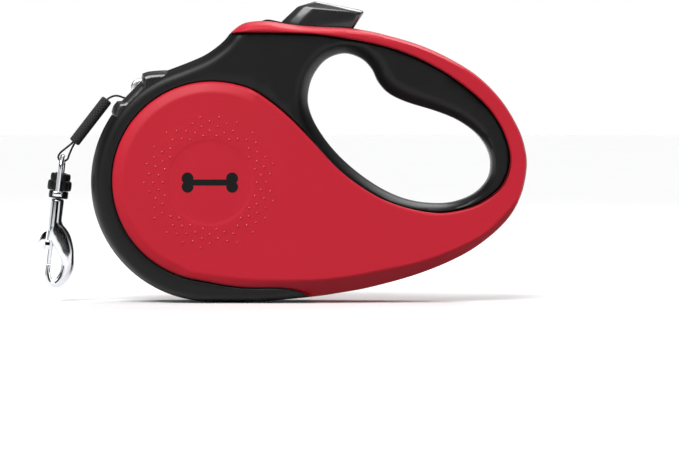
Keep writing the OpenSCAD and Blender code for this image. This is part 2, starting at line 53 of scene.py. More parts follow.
# ---------------------------------------------------------------- camera
TARGET = Vector((0.00918, 0.0, 0.0192))
DISTANCE = 1.15
ELEVATION = math.radians(2.0)
WIDTH = 0.2037
cam = bpy.data.cameras.new("camera")
camera = bpy.data.objects.new("camera", cam)
scene.collection.objects.link(camera)
camera.location = TARGET + DISTANCE * Vector((0, -math.cos(ELEVATION), math.sin(ELEVATION)))
camera.rotation_euler = (math.pi / 2 - ELEVATION, 0, 0)
cam.sensor_width = 36
cam.lens = 36 * DISTANCE / WIDTH
cam.clip_start = 0.01
cam.clip_end = 30
scene.camera = camera
scene.view_settings.view_transform = "Standard"
scene.view_settings.look = "None"


# ---------------------------------------------------------------- curves, in mm, as [x, z]
def spline(p, n, closed=False):
    """A smooth curve through the points of p, with n steps to a span."""
    p = np.array(p, float)
    m = len(p)
    if closed:
        q = np.vstack([p[-1], p, p[0], p[1]])
        spans = m
    else:
        q = np.vstack([2 * p[0] - p[1], p, 2 * p[-1] - p[-2]])
        spans = m - 1
    out = []
    for i in range(spans):
        a, b, c, d = q[i:i + 4]
        for j in range(n):
            t = j / n
            out.append(0.5 * (2 * b + (c - a) * t + (2 * a - 5 * b + 4 * c - d) * t ** 2
                              + (3 * b - a - 3 * c + d) * t ** 3))
    if not closed:
        out.append(p[-1])
    return np.array(out)


def resample(p, step, closed=True):
    """The line p again, with points about one step apart."""
    p = np.array(p, float)
    if closed:
        p = np.vstack([p, p[:1]])
    s = np.concatenate([[0], np.cumsum(np.linalg.norm(np.diff(p, axis=0), axis=1))])
    n = max(3, int(round(s[-1] / step)))
    t = np.linspace(0, s[-1], n + 1)
    if closed:
        t = t[:-1]
    return np.column_stack([np.interp(t, s, p[:, k]) for k in range(p.shape[1])])


def inset(p, d):
    """The closed anticlockwise line p, moved inwards by d."""
    t = np.roll(p, -1, 0) - np.roll(p, 1, 0)
    t /= np.linalg.norm(t, axis=1)[:, None]
    return p + d * np.column_stack([-t[:, 1], t[:, 0]])


def distance(p, q):
    """How far each point of p is from the closed line q."""
    a, b = q, np.roll(q, -1, 0)
    out = np.empty(len(p))
    ab = b - a
    ll = (ab ** 2).sum(1)
    for k in range(0, len(p), 2000):
        ap = p[k:k + 2000, None, :] - a[None]
        t = np.clip((ap * ab[None]).sum(2) / ll[None], 0, 1)
        out[k:k + 2000] = np.sqrt(((ap - t[..., None] * ab[None]) ** 2).sum(2)).min(1)
    return out


def inside(p, q):
    """True for each point of p that lies in the polygon q."""
    x, y = p[:, 0], p[:, 1]
    r = np.zeros(len(p), bool)
    j = len(q) - 1
    for i in range(len(q)):
        xi, yi, xj, yj = q[i][0], q[i][1], q[j][0], q[j][1]
        if yi != yj:
            r ^= ((yi > y) != (yj > y)) & (x < (xj - xi) * (y - yi) / (yj - yi) + xi)
        j = i
    return r


def signed(p, q):
    """How far each point of p is from the closed line q, positive inside it."""
    return np.where(inside(p, q), 1.0, -1.0) * distance(p, q)


def step(x, a, b):
    """Rises smoothly from 0 at a to 1 at b."""
    t = np.clip((x - a) / (b - a), 0, 1)
    return t * t * (3 - 2 * t)


def smin(a, b, k):
    """The smaller of a and b, rounded where they differ by less than k."""
    h = np.clip(0.5 + 0.5 * (b - a) / k, 0, 1)
    return b * (1 - h) + a * h - k * h * (1 - h)


AX = np.array([-29.2, 36.0])        # the reel's centre
PANEL = np.array([-28.7, 36.3])     # the centre of the cover's round part
DISC_R, PANEL_R, NOZZLE_R = 35.6, 29.7, 33.6
HOOK_LEAN = 7                       # degrees


def arc(r, a0, a1, n, c=AX):
    """Points of an arc about c, from a0 to a1 degrees."""
    a = np.radians(np.linspace(a0, a1, n + 1))
    return np.column_stack([c[0] + r * np.cos(a), c[1] + r * np.sin(a)])


TAIL = [(-22, 0.4), (-12, 0.6), (1, 1.8), (10, 3.1), (19, 4.8), (32, 8.4), (43.6, 13.1), (52, 18.2),
        (59.2, 24.9), (63.2, 32), (64.9, 40), (64.4, 46), (62.2, 52.4), (57.2, 60.5), (50, 67.7),
        (41, 73.2), (32, 77.1), (21.5, 80.1), (16, 81.2), (10, 81.9), (3, 82.2), (-3, 82.6), (-8, 83.3),
        (-12, 83.9), (-16, 83.8), (-19.5, 83.1), (-22.8, 80.8), (-24.8, 78.4), (-27.4, 76.1), (-31, 73.7),
        (-36, 71.5)]
OPENING = [(0, 58), (2.6, 52), (7.8, 45), (15, 38.4), (23, 33.2), (30.6, 30.3), (38.4, 29.4), (44.4, 30.1),
           (50, 32.6), (53.6, 36.6), (54.6, 41), (53.6, 45.6), (50.4, 50.2), (45, 54.2), (38.4, 57),
           (29.4, 59.8), (24, 62.4), (20.8, 65.8), (18.8, 69.8), (15.6, 72.9), (10.6, 74.4), (5.2, 72.6),
           (1.4, 68), (-0.2, 62.8)]
SEAM_TOP = [(-22.6, 80.3), (-5, 80.1), (5, 79.4), (19, 77), (29.4, 73.9), (38.4, 69.6), (46.2, 64.4),
            (52.7, 58.6), (57.2, 52.1), (59.5, 45.6), (59.6, 40.8), (57.8, 35.8), (54, 31.9), (48.1, 28.7),
            (39.8, 27), (32, 27.8), (22.8, 30.7), (15, 35.2), (8.4, 40.5), (2, 47.4), (-4.6, 54.3),
            (-10.6, 59.5), (-16.8, 63.6), (-22.8, 65.5)]
SEAM_BASE = [(-24, 5.2), (-18, 4.6), (-9, 4.5), (-4, 3.8), (-1.4, 2.8), (1, 1.5), (3, -0.5)]
e0, e1 = arc(DISC_R, 268, 269, 1)[0], arc(DISC_R, 111, 112, 1)[0]
SIL = resample(np.vstack([arc(DISC_R, 111, 267.6, 150), spline([e0] + TAIL + [e1], 10)[:-1]]), 0.9)
FRAME_X = (-14.0, 16.6)
for x in FRAME_X:
    k = np.where(SIL[:, 1] > 75, abs(SIL[:, 0] - x), 99).argmin()
    SIL[k, 0] = x
OPE = resample(spline(OPENING, 10, True), 0.9)
ZONE_IN = np.vstack([spline(SEAM_TOP, 10)[:-1], arc(PANEL_R, 81, 261, 200, PANEL), spline(SEAM_BASE, 8)])
ZONE = np.vstack([[(74, -8), (84, 40), (74, 96), (-20, 100), (-36, 96), (-36, 80.3)],
                  resample(ZONE_IN, 0.8, False)])


# ---------------------------------------------------------------- objects
def add(name, verts, faces, smooth=True):
    me = bpy.data.meshes.new(name)
    me.from_pydata([tuple(v) for v in verts], [], [tuple(f) for f in faces])
    me.validate()
    ob = bpy.data.objects.new(name, me)
    scene.collection.objects.link(ob)
    if smooth:
        me.shade_smooth()
    return ob


def make(ob, mat, body, *nodes, slot=None):
    """Gives a piece its material, its body and the nodes that it stands for."""
    ob.data.materials.clear()
    ob.data.materials.append(mat)
    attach(ob, body)
    if nodes:
        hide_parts(*nodes)
    return ob


def modifiers(ob, bevel=None, segments=3, angle=30):
    """Applies a bevel for real, and shades by angle."""
    if bevel:
        m = ob.modifiers.new("bevel", "BEVEL")
        m.width = bevel * MM
        m.segments = segments
        m.limit_method = "ANGLE"
        m.angle_limit = math.radians(angle)
        m.use_clamp_overlap = True
    apply(ob)
    ob.data.shade_smooth()
    ob.data.set_sharp_from_angle(angle=math.radians(40))
    return ob


def apply(ob):
    deps = bpy.context.evaluated_depsgraph_get()
    new = bpy.data.meshes.new_from_object(ob.evaluated_get(deps))
    ob.modifiers.clear()
    ob.data = new


def boolean(ob, cutter, operation="DIFFERENCE"):
    m = ob.modifiers.new("boolean", "BOOLEAN")
    m.operation = operation
    m.object = cutter
    m.solver = "EXACT"
    bpy.context.view_layer.update()
    apply(ob)
    bpy.data.objects.remove(cutter)
    return ob


def prism(name, outline, y0, y1):
    """A plate from an anticlockwise outline of [x, z] in mm between two Y."""
    n = len(outline)
    v = [(p[0] * MM, y * MM, p[1] * MM) for y in (y0, y1) for p in outline]
    f = [list(range(n)), list(range(2 * n - 1, n - 1, -1))]
    f += [[(i + 1) % n, i, i + n, (i + 1) % n + n] for i in range(n)]
    return add(name, v, f, smooth=False)


def tube(name, rings, caps=True, closed=False):
    """Rings of points in mm, joined one after another."""
    m, n = len(rings[0]), len(rings)
    v = [tuple(c * MM for c in p) for r in rings for p in r]
    f = []
    for k in range(n if closed else n - 1):
        l = (k + 1) % n
        f += [[k * m + i, k * m + (i + 1) % m, l * m + (i + 1) % m, l * m + i] for i in range(m)]
    if caps and not closed:
        f += [list(range(m - 1, -1, -1)), [(n - 1) * m + i for i in range(m)]]
    ob = add(name, v, f)
    bm = bmesh.new()
    bm.from_mesh(ob.data)
    bmesh.ops.recalc_face_normals(bm, faces=bm.faces)
    bm.to_mesh(ob.data)
    bm.free()
    return ob


def turned(name, profile, origin, axis, n=64, closed=True):
    """A turned piece: profile is (radius, along) in mm, about axis through origin."""
    axis = Vector(axis).normalized()
    q = Vector((0, 0, 1)).rotation_difference(axis)
    o = Vector(origin)
    rings = []
    for k in range(n):
        a = 2 * math.pi * k / n
        rings.append([tuple(o + q @ Vector((r * math.cos(a), r * math.sin(a), h))) for r, h in profile])
    m = len(profile)
    v = [tuple(c * MM for c in p) for r in rings for p in r]
    f = []
    for k in range(n):
        l = (k + 1) % n
        for i in range(m if closed else m - 1):
            f.append([k * m + i, k * m + (i + 1) % m, l * m + (i + 1) % m, l * m + i])
    ob = add(name, v, f)
    bm = bmesh.new()
    bm.from_mesh(ob.data)
    bmesh.ops.remove_doubles(bm, verts=bm.verts, dist=1e-7)
    bmesh.ops.recalc_face_normals(bm, faces=bm.faces)
    bm.to_mesh(ob.data)
    bm.free()
    return ob


# ---------------------------------------------------------------- materials
def linear(c):
    """An sRGB colour from 0 to 255 as a linear one with alpha."""
    return tuple(x / 12.92 if x <= 0.04045 else ((x + 0.055) / 1.055) ** 2.4
                 for x in (v / 255 for v in c)) + (1,)


def material(name, a, b, rough, rough_b=None, blotch=60, grain=3000, depth=0.02, metallic=0.0, coat=0.0,
             coat_rough=0.1, sheen=0.0, specular=0.5, weave=None, brushed=None):
    """Principled surface: colour and roughness wander between two values, and a fine grain gives bump."""
    m = bpy.data.materials.new(name)
    m.use_nodes = True
    t = m.node_tree
    t.nodes.clear()
    out = t.nodes.new("ShaderNodeOutputMaterial")
    p = t.nodes.new("ShaderNodeBsdfPrincipled")
    t.links.new(p.outputs[0], out.inputs[0])
    p.inputs["Metallic"].default_value = metallic
    p.inputs["Coat Weight"].default_value = coat
    p.inputs["Coat Roughness"].default_value = coat_rough
    p.inputs["Specular IOR Level"].default_value = specular
    if sheen:
        p.inputs["Sheen Weight"].default_value = sheen
        p.inputs["Sheen Roughness"].default_value = 0.4
    co = t.nodes.new("ShaderNodeTexCoord")
    wide = t.nodes.new("ShaderNodeTexNoise")
    wide.inputs["Scale"].default_value = blotch
    wide.inputs["Detail"].default_value = 5
    wide.inputs["Roughness"].default_value = 0.6
    t.links.new(co.outputs["Object"], wide.inputs["Vector"])
    mix = t.nodes.new("ShaderNodeMix")
    mix.data_type = "RGBA"
    mix.inputs["A"].default_value = linear(a)
    mix.inputs["B"].default_value = linear(b)
    t.links.new(wide.outputs["Fac"], mix.inputs["Factor"])
    t.links.new(mix.outputs["Result"], p.inputs["Base Color"])
    ran = t.nodes.new("ShaderNodeMapRange")
    ran.inputs["From Min"].default_value = 0.3
    ran.inputs["From Max"].default_value = 0.7
    ran.inputs["To Min"].default_value = rough
    ran.inputs["To Max"].default_value = rough_b if rough_b is not None else rough + 0.08
    fine = t.nodes.new("ShaderNodeTexNoise")
    fine.inputs["Scale"].default_value = grain
    fine.inputs["Detail"].default_value = 2
    t.links.new(co.outputs["Object"], fine.inputs["Vector"])
    t.links.new(wide.outputs["Fac"], ran.inputs["Value"])
    t.links.new(ran.outputs["Result"], p.inputs["Roughness"])
    bump = t.nodes.new("ShaderNodeBump")
    bump.inputs["Strength"].default_value = 1.0
    bump.inputs["Distance"].default_value = depth * MM
    height = fine.outputs["Fac"]
    if weave:
        wa = t.nodes.new("ShaderNodeTexWave")
        wa.inputs["Scale"].default_value = weave
        wa.inputs["Distortion"].default_value = 1.5
        wa.inputs["Detail"].default_value = 2
        wb = t.nodes.new("ShaderNodeTexWave")
        wb.inputs["Scale"].default_value = weave
        wb.bands_direction = "Z"
        wb.inputs["Distortion"].default_value = 1.5
        mx = t.nodes.new("ShaderNodeMath")
        mx.operation = "MULTIPLY"
        t.links.new(co.outputs["Object"], wa.inputs["Vector"])
        t.links.new(co.outputs["Object"], wb.inputs["Vector"])
        t.links.new(wa.outputs["Fac"], mx.inputs[0])
        t.links.new(wb.outputs["Fac"], mx.inputs[1])
        height = mx.outputs[0]
        t.links.new(mx.outputs[0], mix.inputs["Factor"])
    if brushed:
        mp = t.nodes.new("ShaderNodeMapping")
        mp.inputs["Scale"].default_value = brushed
        t.links.new(co.outputs["Object"], mp.inputs["Vector"])
        t.links.new(mp.outputs["Vector"], fine.inputs["Vector"])
    t.links.new(height, bump.inputs["Height"])
    t.links.new(bump.outputs["Normal"], p.inputs["Normal"])
    return m


RED = material("red_soft_touch", (188, 30, 48), (179, 26, 43), 0.42, 0.52, blotch=35, grain=5500, depth=0.012,
               sheen=0.04, specular=0.2)
# The dots' red is lighter than the cover's red: a painted highlight on each dot. Their lower roughness is
# real polish.
RED_DOT_PAINTED_HIGHLIGHT = material("red_polished_painted_highlight", (204, 44, 60), (194, 38, 54), 0.26, 0.34, blotch=60, grain=4000,
                   depth=0.004, specular=0.6)
BLACK = material("black_moulded", (15, 15, 16), (10, 10, 11), 0.34, 0.44, blotch=45, grain=5000, depth=0.014,
                 specular=0.22)
RUBBER = material("black_rubber", (30, 30, 31), (23, 23, 24), 0.6, 0.72, blotch=70, grain=2600, depth=0.03,
                  specular=0.3)
GLOSS = material("dark_gloss", (30, 30, 32), (22, 22, 24), 0.26, 0.34, blotch=80, grain=1500, depth=0.004,
                 coat=0.4, coat_rough=0.08)
CHROME = material("chrome", (226, 228, 232), (210, 212, 216), 0.06, 0.13, blotch=120, grain=900, depth=0.004,
                  metallic=1.0)
ROLLER = material("polished_roller", (232, 233, 236), (220, 222, 226), 0.26, 0.34, blotch=90, grain=900,
                  depth=0.004, metallic=1.0)
STEEL = material("steel", (150, 152, 156), (128, 130, 134), 0.3, 0.42, blotch=90, grain=800, depth=0.01,
                 metallic=1.0, brushed=(1, 12, 1))
NYLON = material("natural_nylon", (222, 218, 205), (210, 205, 190), 0.45, 0.55, blotch=50, grain=2200,
                 depth=0.015)
BRASS = material("brass", (190, 150, 80), (170, 130, 66), 0.28, 0.4, blotch=90, grain=800, depth=0.01,
                 metallic=1.0, brushed=(1, 14, 1))
CORD = material("black_cord", (38, 38, 40), (14, 14, 15), 0.7, 0.85, grain=3000, depth=0.12, weave=900,
                specular=0.3)
SLEEVE = material("black_sleeve", (44, 44, 46), (15, 15, 16), 0.7, 0.85, grain=3000, depth=0.16, weave=420,
                  specular=0.3, sheen=0.2)
PRINT = material("black_print", (6, 6, 7), (9, 9, 10), 0.5, 0.6, blotch=300, grain=4000, depth=0.01,
                 specular=0.15)
LOOKS = {"black_plastic": BLACK, "red_cover": RED, "black_rubber": RUBBER, "dark_gloss": GLOSS,
         "chrome": CHROME, "steel": STEEL, "nylon": NYLON, "brass": BRASS, "black_cord": CORD}
for entry in frame["record"]["subparts"]:
    node = frame["nodes"][entry["node"]]
    node.data.materials.clear()
    node.data.materials.append(LOOKS[entry["material_slot"]])

# ---------------------------------------------------------------- the lead
LEAD_START = [(-54.6, 60.95), (-55.6, 61.15), (-56.7, 61.55), (-57.9, 61.7), (-59.1, 61.4)]
LOOP = [(-71.7, 46.9), (-73.1, 45.8), (-74.4, 44.7), (-75.1, 43.6), (-75, 42.8), (-74.4, 42.3), (-73.6, 42.2),
        (-72.9, 42.3), (-72.3, 42.8), (-72, 43.6), (-71.5, 44.9), (-70.8, 46.4)]
SLEEVE_LENGTH = 16.3
TOP, ALONG, ASIDE = np.array((-60.4, 60.6)), np.array((-0.6127, -0.7903)), np.array((-0.7903, 0.6127))


def in_sleeve(t, side):
    """The point t along the sleeve from its top, and side off its axis."""
    return tuple(TOP + t * ALONG + side * ASIDE)


ROUTE = (LEAD_START + [in_sleeve(0, 0), in_sleeve(1.5, 0), in_sleeve(4, 0.2)]
         + [in_sleeve(t, 0.33) for t in (6, 8, 10, 12, 14)] + [in_sleeve(SLEEVE_LENGTH, 0.3)] + LOOP
         + [in_sleeve(SLEEVE_LENGTH, -0.3)] + [in_sleeve(t, -0.33) for t in (14, 12, 10, 8)])


def cord_curve(name, route, radius):
    pts = spline(route, 5)
    cu = bpy.data.curves.new(name, "CURVE")
    cu.dimensions = "3D"
    cu.bevel_depth = radius * MM
    cu.bevel_resolution = 4
    cu.use_fill_caps = True
    sp = cu.splines.new("POLY")
    sp.points.add(len(pts) - 1)
    for q, (x, z) in zip(sp.points, pts):
        q.co = (x * MM, 0, z * MM, 1)
    sp.use_smooth = True
    ob = bpy.data.objects.new(name, cu)
    scene.collection.objects.link(ob)
    return ob, float(np.linalg.norm(np.diff(pts, axis=0), axis=1).sum()) * MM


lead, lead_length = cord_curve("lead_cord_braid", ROUTE, 0.3)
lead.data.materials.append(CORD)
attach(lead, "lead")
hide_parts("lead_cord")


# ---------------------------------------------------------------- housing skins
def roll(d, width, drop, top):
    """Height of a rolled edge at depth d from the outline: a quarter ellipse."""
    u = np.clip(1 - d / width, 0, 1)
    return top - drop + drop * np.sqrt(np.clip(1 - u ** 2.2, 0, 1))


def flare(d, p, top):
    """Soft slope from the opening's edge at depth d, widest over the fingers."""
    over = step(p[:, 0], 8, 26) * step(p[:, 1], 44, 56)
    width = 5.6 + 7.0 * over
    u = np.clip(1 - d / width, 0, 1)
    return 7.05 + (top - 7.05) * (1 - u ** (2.1 + 0.6 * over))


def bulge(p):
    """Slow doming of the sides, in mm, 0 at the middle of the reel."""
    r = np.linalg.norm(p - AX, axis=1)
    return -0.5 * step(r, 4, 30) - 0.25 * step(r, 30, 75)


INNER = np.vstack([arc(26.3, 62, 250, 120, PANEL),
                   spline([(-34.5, 9.7), (-24, 8.3), (-14, 7.4), (0, 7.3), (10, 8.2), (18.9, 9.7),
                           (31.9, 12.4), (42.3, 16), (51.4, 20.6), (57.5, 26), (63.5, 33), (69, 42)], 6),
                   [(80, 60), (70, 95), (0, 99), (-34, 92), (-20, 72), (-12.5, 66)]])
INNER = resample(INNER, 1.1)
HOLES = [(33.0, 66.0), (-21.4, 76.4)]


def shell_height(p, screws):
    """Y of a shell's outside at each point of p, with the screws' wells on one side."""
    taper = 0.05 * np.clip(p[:, 0] + 5, 0, None)
    d = distance(p, SIL)
    o = signed(p, OPE)
    z = signed(p, ZONE)
    y = smin(13 - taper + 0.6 * bulge(p), roll(d, 4.9, 6.6, 13.1), 0.5)
    y = smin(y, flare(-o, p, 13.5), 0.35)
    y = y - 0.35 * (1 - step(-z, 0.0, 0.4)) * (z <= 0.001)
    y = np.where(z > 0.01, y - 1.6, y)
    if screws:
        for h in HOLES:
            r = np.linalg.norm(p - np.array(h), axis=1)
            y = np.where(r < 1.81, 6.3, y - 0.3 * (1 - step(r, 1.84, 2.3)))
    return y


def cover_height(p):
    """Y of a cover's outside at each point of p."""
    taper = 0.05 * np.clip(p[:, 0] + 5, 0, None)
    d = distance(p, SIL)
    z = signed(p, ZONE)
    q = -signed(p, INNER)
    r = np.linalg.norm(p - AX, axis=1)
    slope = 0.46 + 0.5 * step(p[:, 0], -30, 4) * (1 - step(p[:, 1], 25, 50))
    turn = np.degrees(np.arctan2(p[:, 1] - AX[1], p[:, 0] - AX[0]))
    slope = slope * np.where((r < 32) & (turn > 20), step(turn, 48, 84), 1)
    drop = slope * (np.sqrt(np.clip(q, 0, None) ** 2 + 0.16) - 0.4) * (q > 0)
    y = 15 - taper + bulge(p) - drop
    y = y - 0.14 * (1 - step(r, 12.0, 13.0))
    y = smin(y, roll(d, 4.6, 8.3, 15.6), 0.7)
    y = smin(y, flare(-signed(p, OPE), p, 15.6), 0.4)
    edge = np.clip(1 - (z - 0.14) / 0.75, 0, 1)
    y = y - 0.75 * (1 - np.sqrt(np.clip(1 - edge ** 2, 0, 1)))
    return np.where(z < 0.16, 11.6, y)


def circle(c, r, n=32):
    a = np.linspace(0, 2 * math.pi, n + 1)[:-1]
    return np.column_stack([c[0] + r * np.cos(a), c[1] + r * np.sin(a)])


def field(loops, chains, keep, height, spacing):
    """A height field over the region that keep() picks, with edges along every loop and open chain."""
    lo, hi = SIL.min(0) - 1, SIL.max(0) + 1
    gx, gz = np.meshgrid(np.arange(lo[0], hi[0], spacing), np.arange(lo[1], hi[1], spacing * 0.866))
    gx[1::2] += spacing / 2
    pts = np.column_stack([gx.ravel(), gz.ravel()])
    allc = np.vstack(loops + chains)
    near = np.zeros(len(pts), bool)
    for k in range(0, len(pts), 500):
        near[k:k + 500] = (((pts[k:k + 500, None] - allc[None]) ** 2).sum(2).min(1) < (0.45 * spacing) ** 2)
    pts = pts[~near & inside(pts, SIL)]
    verts, edges = [tuple(q) for q in pts], []
    for c in loops:
        b = len(verts)
        n = len(c)
        verts += [tuple(q) for q in c]
        edges += [(b + i, b + (i + 1) % n) for i in range(n)]
    for c in chains:
        b = len(verts)
        verts += [tuple(q) for q in c]
        edges += [(b + i, b + i + 1) for i in range(len(c) - 1)]
    v, _, f, *_ = delaunay_2d_cdt([Vector(q) for q in verts], edges, [], 0, 1e-4)
    v = np.array([tuple(q) for q in v])
    f = np.array([q[:3] for q in f if len(q) == 3])
    c = v[f].mean(1)
    f = f[keep(c)]
    area = ((v[f[:, 1], 0] - v[f[:, 0], 0]) * (v[f[:, 2], 1] - v[f[:, 0], 1])
            - (v[f[:, 1], 1] - v[f[:, 0], 1]) * (v[f[:, 2], 0] - v[f[:, 0], 0]))
    f = np.where(area[:, None] < 0, f[:, ::-1], f)
    used = np.unique(f)
    new = -np.ones(len(v), int)
    new[used] = np.arange(len(used))
    v, f = v[used], new[f]
    y = height(v)
    return v, y, f


def half(name, v, y, f, rows, side):
    """Mesh of one half: the field, and walls from its border down through rows of [x, y, z]."""
    half_edges = set()
    for t in f:
        for i in range(3):
            half_edges.add((int(t[i]), int(t[(i + 1) % 3])))
    border = [e for e in half_edges if (e[1], e[0]) not in half_edges]
    ids = np.array(sorted({i for e in border for i in e}))
    rows = rows(v[ids])
    index = {i: k for k, i in enumerate(ids.tolist())}
    p = v[ids]
    frame_top = (p[:, 1] > 75) & (p[:, 0] > FRAME_X[0] - 0.01) & (p[:, 0] < FRAME_X[1] + 0.01)
    n = len(v)
    verts = [(q[0], -h, q[1]) for q, h in zip(v, y)]
    faces = [list(map(int, t)) for t in f]
    for row in rows:
        verts += [(q[0], -q[1], q[2]) for q in row]
    for a, b in border:
        ia, ib = index[a], index[b]
        pa, pb = a, b
        for r in range(1 if frame_top[ia] and frame_top[ib] else len(rows)):
            na, nb = n + r * len(ids) + ia, n + r * len(ids) + ib
            faces.append([pb, pa, na, nb])
            pa, pb = na, nb
    if side > 0:
        verts = [(x, -h, z) for x, h, z in verts]
        faces = [q[::-1] for q in faces]
    ob = add(name, [tuple(c * MM for c in q) for q in verts], faces)
    bm = bmesh.new()
    bm.from_mesh(ob.data)
    bmesh.ops.delete(bm, geom=[q for q in bm.verts if not q.link_faces], context="VERTS")
    bm.to_mesh(ob.data)
    bm.free()
    ob.data.shade_smooth()
    ob.data.set_sharp_from_angle(angle=math.radians(38))
    return ob


SIL_STEPS = (0, 0.07, 0.25, 0.55, 1.0, 1.6, 2.3, 3.1, 4.0, 5.0)
OPE_STEPS = (0, 0.3, 0.7, 1.2, 1.8, 2.5, 3.3, 4.2, 5.2)
OUTLET = np.vstack([arc(NOZZLE_R, 145.5, 115, 30), [(-37, 78.3), (-70, 80), (-70, 64)]])


def inset_points(p, on, d):
    """The points of p that lie on the silhouette, moved inwards by d."""
    q = p.copy()
    t = np.roll(SIL, -1, 0) - np.roll(SIL, 1, 0)
    t /= np.linalg.norm(t, axis=1)[:, None]
    normal = np.column_stack([-t[:, 1], t[:, 0]])
    for i in np.where(on)[0]:
        q[i] = p[i] + d * normal[((SIL - p[i]) ** 2).sum(1).argmin()]
    return q


def walls(deep):
    """Rows of a wall that goes to the parting line at the silhouette, and to y = deep elsewhere."""
    def rows(p):
        on = distance(p, SIL) < 0.02
        low = inset_points(p, on, 0.14)
        return [np.column_stack([p[:, 0], np.where(on, 8.05, deep + 0.3), p[:, 1]]),
                np.column_stack([p[:, 0], np.where(on, 0.24, deep + 0.1), p[:, 1]]),
                np.column_stack([low[:, 0], np.where(on, 0.0, deep), low[:, 1]])]
    return rows


def shell(side):
    screws = side > 0
    loops = [inset(SIL, d) for d in SIL_STEPS + (1.25,)] + [inset(OPE, -d) for d in OPE_STEPS]
    chains = [inset(ZONE, d)[5:] for d in (0.02, 0.0, -0.1, -0.25, -0.45)] + [OUTLET[:-3]]
    if screws:
        loops += [circle(h, r) for h in HOLES for r in (1.8, 1.84, 2.05, 2.4)]

    def keep(c):
        return (inside(c, SIL) & ~inside(c, OPE) & ~inside(c, OUTLET)
                & (~inside(c, ZONE) | (distance(c, SIL) > 1.25)))

    v, y, f = field(loops, chains, keep, lambda p: shell_height(p, screws), 3.2)
    return half(("left" if side < 0 else "right") + "_shell_skin", v, y, f, walls(0.0), side)


def cover(side):
    loops = [inset(SIL, d) for d in SIL_STEPS] + [inset(INNER, d) for d in (-1.2, -0.5, 0.0, 0.4)]
    loops += [circle(AX, r, 72) for r in (11.9, 12.3, 12.7, 13.1)]
    chains = [inset(ZONE, d)[5:] for d in (0.14, 0.17, 0.24, 0.4, 0.62, 0.95, 1.4)]

    def keep(c):
        return inside(c, SIL) & (signed(c, ZONE) > 0.14)

    v, y, f = field(loops, chains, keep, cover_height, 2.6)
    return half(("left" if side < 0 else "right") + "_cover_skin", v, y, f, walls(10.4), side)


left_shell, right_shell = shell(-1), shell(1)
make(left_shell, BLACK, "housing", "left_shell", slot="black_plastic")
make(right_shell, BLACK, "housing", "right_shell", slot="black_plastic")
left_cover, right_cover = cover(-1), cover(1)
make(left_cover, RED, "housing", "left_cover", slot="red_cover")
make(right_cover, RED, "housing", "right_cover", slot="red_cover")

# ---------------------------------------------------------------- liner, foot, button frame, outlet
LINER = [(0, -6.2), (0.12, -6.7), (0.45, -7), (1.4, -7), (1.4, 7), (0.45, 7), (0.12, 6.7), (0, 6.2)]
GROOVE = ((0, 0.6), (0.2, 0.35), (0.26, 0), (0.2, -0.35), (0, -0.6))
LINER += [(g, y0 + y) for y0 in (4, 2, 0, -2, -4) for g, y in GROOVE]
ope = resample(spline(OPENING, 10, True), 0.6)
sides = [inset(ope, -g) for g, _ in LINER]
rings = [[(q[k][0], y, q[k][1]) for q, (_, y) in zip(sides, LINER)] for k in range(len(ope))]
liner = tube("grip_liner_ring", rings, caps=False, closed=True)
modifiers(liner)
make(liner, RUBBER, "housing", "grip_liner", slot="black_rubber")

ARCH = [(-23.2 + 4.7 * math.cos(math.radians(a)), 1.4 * math.sin(math.radians(a)) ** 0.8)
        for a in range(170, 0, -10)]
FOOT = [(-31.5, 0), (-27.9, 0)] + ARCH + [(-18.5, 0), (-13, 0), (-13, 2.2), (-31.5, 2.2)]
foot = prism("rubber_foot", FOOT, -8, 8)
modifiers(foot, bevel=0.35, angle=40)
make(foot, RUBBER, "housing", "foot_pad", slot="black_rubber")


def block(lo, hi):
    """A box between two corners in mm."""
    c = [(lo[k] + hi[k]) / 2 * MM for k in range(3)]
    bpy.ops.mesh.primitive_cube_add(size=1, location=c)
    ob = bpy.context.object
    ob.scale = [(hi[k] - lo[k]) * MM for k in range(3)]
    bpy.context.view_layer.update()
    ob.data.transform(ob.matrix_world)
    ob.matrix_world = Matrix.Identity(4)
    bpy.context.view_layer.update()
    return ob


def rounded(x0, x1, y0, y1, z0, z1, r):
    """An upright plug with rounded corners, for cutting a well."""
    pts = []
    corners = ((x1 - r, y1 - r, 0), (x0 + r, y1 - r, 90), (x0 + r, y0 + r, 180), (x1 - r, y0 + r, 270))
    for cx, cy, a0 in corners:
        pts += [(cx + r * math.cos(math.radians(a0 + a)), cy + r * math.sin(math.radians(a0 + a)))
                for a in range(0, 91, 15)]
    n = len(pts)
    v = [(x * MM, y * MM, z * MM) for z in (z0, z1) for x, y in pts]
    f = [list(range(n - 1, -1, -1)), list(range(n, 2 * n))]
    f += [[i, (i + 1) % n, (i + 1) % n + n, i + n] for i in range(n)]
    return add("plug", v, f, smooth=False)


BEZEL = [(-14, 77.8), (16.6, 75.8)] + [tuple(q) for q in spline(
    [(16.6, 81.1), (12, 81.9), (6, 82.25), (0, 82.5), (-5, 83), (-9, 83.8), (-11.4, 84.3), (-12.8, 84.3),
     (-14, 83.9)], 5)]
bezel = prism("button_frame", BEZEL, -8, 8)
boolean(bezel, rounded(-12.4, 15.4, -6.3, 6.3, 70, 90, 1.2))
modifiers(bezel, bevel=0.45, angle=50)
make(bezel, BLACK, "housing", "button_bezel", slot="black_plastic")

HOOD = [tuple(q) for q in spline([(-42.2, 69.3), (-44.5, 69.2), (-47.6, 68.9), (-49.5, 68.3)], 5)]
LIP = [(-49.75, 67.2), (-49.8, 66.1)] + [(-49.8 - 5.8 * k / 8, 66.1 - 5.9 * k / 8) for k in range(1, 9)]
LIP += [tuple(q) for q in spline([(-57, 60.1), (-58.1, 58.7), (-58.7, 56.9)], 4)] + [(-58.5, 56.2)]
INSERT = np.array([tuple(q) for q in arc(NOZZLE_R, 145, 115.5, 30)] + HOOD + LIP)


